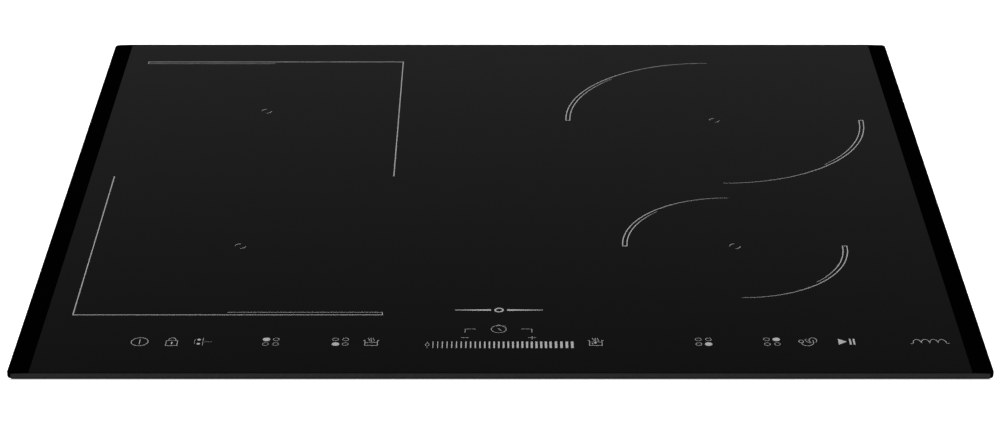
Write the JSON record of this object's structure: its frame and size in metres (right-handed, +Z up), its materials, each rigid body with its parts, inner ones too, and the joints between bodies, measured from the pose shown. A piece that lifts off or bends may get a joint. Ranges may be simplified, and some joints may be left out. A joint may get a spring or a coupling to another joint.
{
  "type": "induction hob",
  "caption": "Built-in induction hob: black glass with printed round and bridged cooking zones, slider controls, steel casing with fans, coils and terminal box.",
  "frame": {"origin": "centre of the underside of the casing, on the centre line of the glass", "axes": "+X to the right and -Y to the user's side, where the controls are; +Z up out of the glass"},
  "size_m": [0.58, 0.51, 0.055],
  "materials": {
    "glass_ceramic": "polished black glass ceramic with light grey enamel print",
    "foam": "closed-cell foam tape, matt",
    "galvanised_steel": "galvanised sheet, satin with spangle",
    "spring_steel": "rolled spring strip, satin",
    "screw_steel": "zinc plated",
    "aluminium_sheet": "rolled sheet and extrusion",
    "ferrite_former": "moulded, with ferrite bars inside the spokes",
    "copper_winding": "enamelled litz wire",
    "mica": "pressed mica sheet",
    "sensor_ceramic": "white ceramic",
    "circuit_board": "green solder mask",
    "black_plastic": "moulded, fine texture",
    "grey_plastic": "moulded",
    "white_plastic": "moulded",
    "rubber": "moulded, matt",
    "ribbon": "flat cable"
  },
  "bodies": {
    "hob": {"glass_top": "glass_ceramic", "worktop_seal": "foam", "support_frame": "galvanised_steel", "lower_casing": "galvanised_steel", "casing_screw_left_front": "screw_steel", "casing_screw_left_rear": "screw_steel", "casing_screw_right_front": "screw_steel", "casing_screw_right_rear": "screw_steel", "coil_tray": "aluminium_sheet", "coil_carrier_left": "aluminium_sheet", "coil_carrier_right_rear": "aluminium_sheet", "coil_carrier_right_front": "aluminium_sheet", "coil_former_left_rear": "ferrite_former", "coil_former_left_front": "ferrite_former", "coil_former_right_rear": "ferrite_former", "coil_former_right_front": "ferrite_former", "induction_coil_left_rear": "copper_winding", "induction_coil_left_front": "copper_winding", "induction_coil_right_rear": "copper_winding", "induction_coil_right_front": "copper_winding", "insulation_disc_left_rear": "mica", "insulation_disc_left_front": "mica", "insulation_disc_right_rear": "mica", "insulation_disc_right_front": "mica", "temperature_sensor_left_rear": "sensor_ceramic", "temperature_sensor_left_front": "sensor_ceramic", "temperature_sensor_right_rear": "sensor_ceramic", "temperature_sensor_right_front": "sensor_ceramic", "leaf_spring_left_rear": "spring_steel", "leaf_spring_left_front": "spring_steel", "leaf_spring_right_rear": "spring_steel", "leaf_spring_right_front": "spring_steel", "electronics_base": "black_plastic", "power_board_left": "circuit_board", "power_board_right": "circuit_board", "heatsink_left": "aluminium_sheet", "heatsink_right": "aluminium_sheet", "power_transistors_left": "black_plastic", "power_transistors_right": "black_plastic", "link_capacitor_left": "grey_plastic", "link_capacitor_right": "grey_plastic", "filter_board": "circuit_board", "line_choke": "copper_winding", "fan_frame_left": "black_plastic", "fan_frame_right": "black_plastic", "touch_bracket": "black_plastic", "touch_board": "circuit_board", "display_light_guide": "white_plastic", "ribbon_cable": "ribbon", "terminal_block": "white_plastic", "terminal_frame": "black_plastic", "cover_hinge_pin": "screw_steel", "cable_gland": "rubber"},
    "fan_left": {"fan_rotor_left": "black_plastic"},
    "fan_right": {"fan_rotor_right": "black_plastic"},
    "clip_left_front": {"mounting_clip_left_front": "spring_steel"},
    "clip_left_rear": {"mounting_clip_left_rear": "spring_steel"},
    "clip_right_front": {"mounting_clip_right_front": "spring_steel"},
    "clip_right_rear": {"mounting_clip_right_rear": "spring_steel"},
    "cover": {"terminal_cover": "black_plastic"}
  },
  "joints": [
    {"name": "fan_left_spin", "type": "hinge", "parent": "hob", "child": "fan_left", "pos_m": [-0.12, 0.16, 0.0111], "axis": [0, 0, 1], "continuous": true},
    {"name": "fan_right_spin", "type": "hinge", "parent": "hob", "child": "fan_right", "pos_m": [0.12, 0.16, 0.0111], "axis": [0, 0, 1], "continuous": true},
    {"name": "clip_left_front_flex", "type": "hinge", "parent": "hob", "child": "clip_left_front", "pos_m": [-0.278, -0.15, 0.04], "axis": [0, -1, 0], "range_deg": [0, 8], "stiffness_Nm_per_rad": 5.6},
    {"name": "clip_left_rear_flex", "type": "hinge", "parent": "hob", "child": "clip_left_rear", "pos_m": [-0.278, 0.15, 0.04], "axis": [0, -1, 0], "range_deg": [0, 8], "stiffness_Nm_per_rad": 5.6},
    {"name": "clip_right_front_flex", "type": "hinge", "parent": "hob", "child": "clip_right_front", "pos_m": [0.278, -0.15, 0.04], "axis": [0, 1, 0], "range_deg": [0, 8], "stiffness_Nm_per_rad": 5.6},
    {"name": "clip_right_rear_flex", "type": "hinge", "parent": "hob", "child": "clip_right_rear", "pos_m": [0.278, 0.15, 0.04], "axis": [0, 1, 0], "range_deg": [0, 8], "stiffness_Nm_per_rad": 5.6},
    {"name": "terminal_cover_hinge", "type": "hinge", "parent": "hob", "child": "cover", "pos_m": [0.2, 0.248, 0.0055], "axis": [-1, 0, 0], "range_deg": [0, 80]}
  ]
}
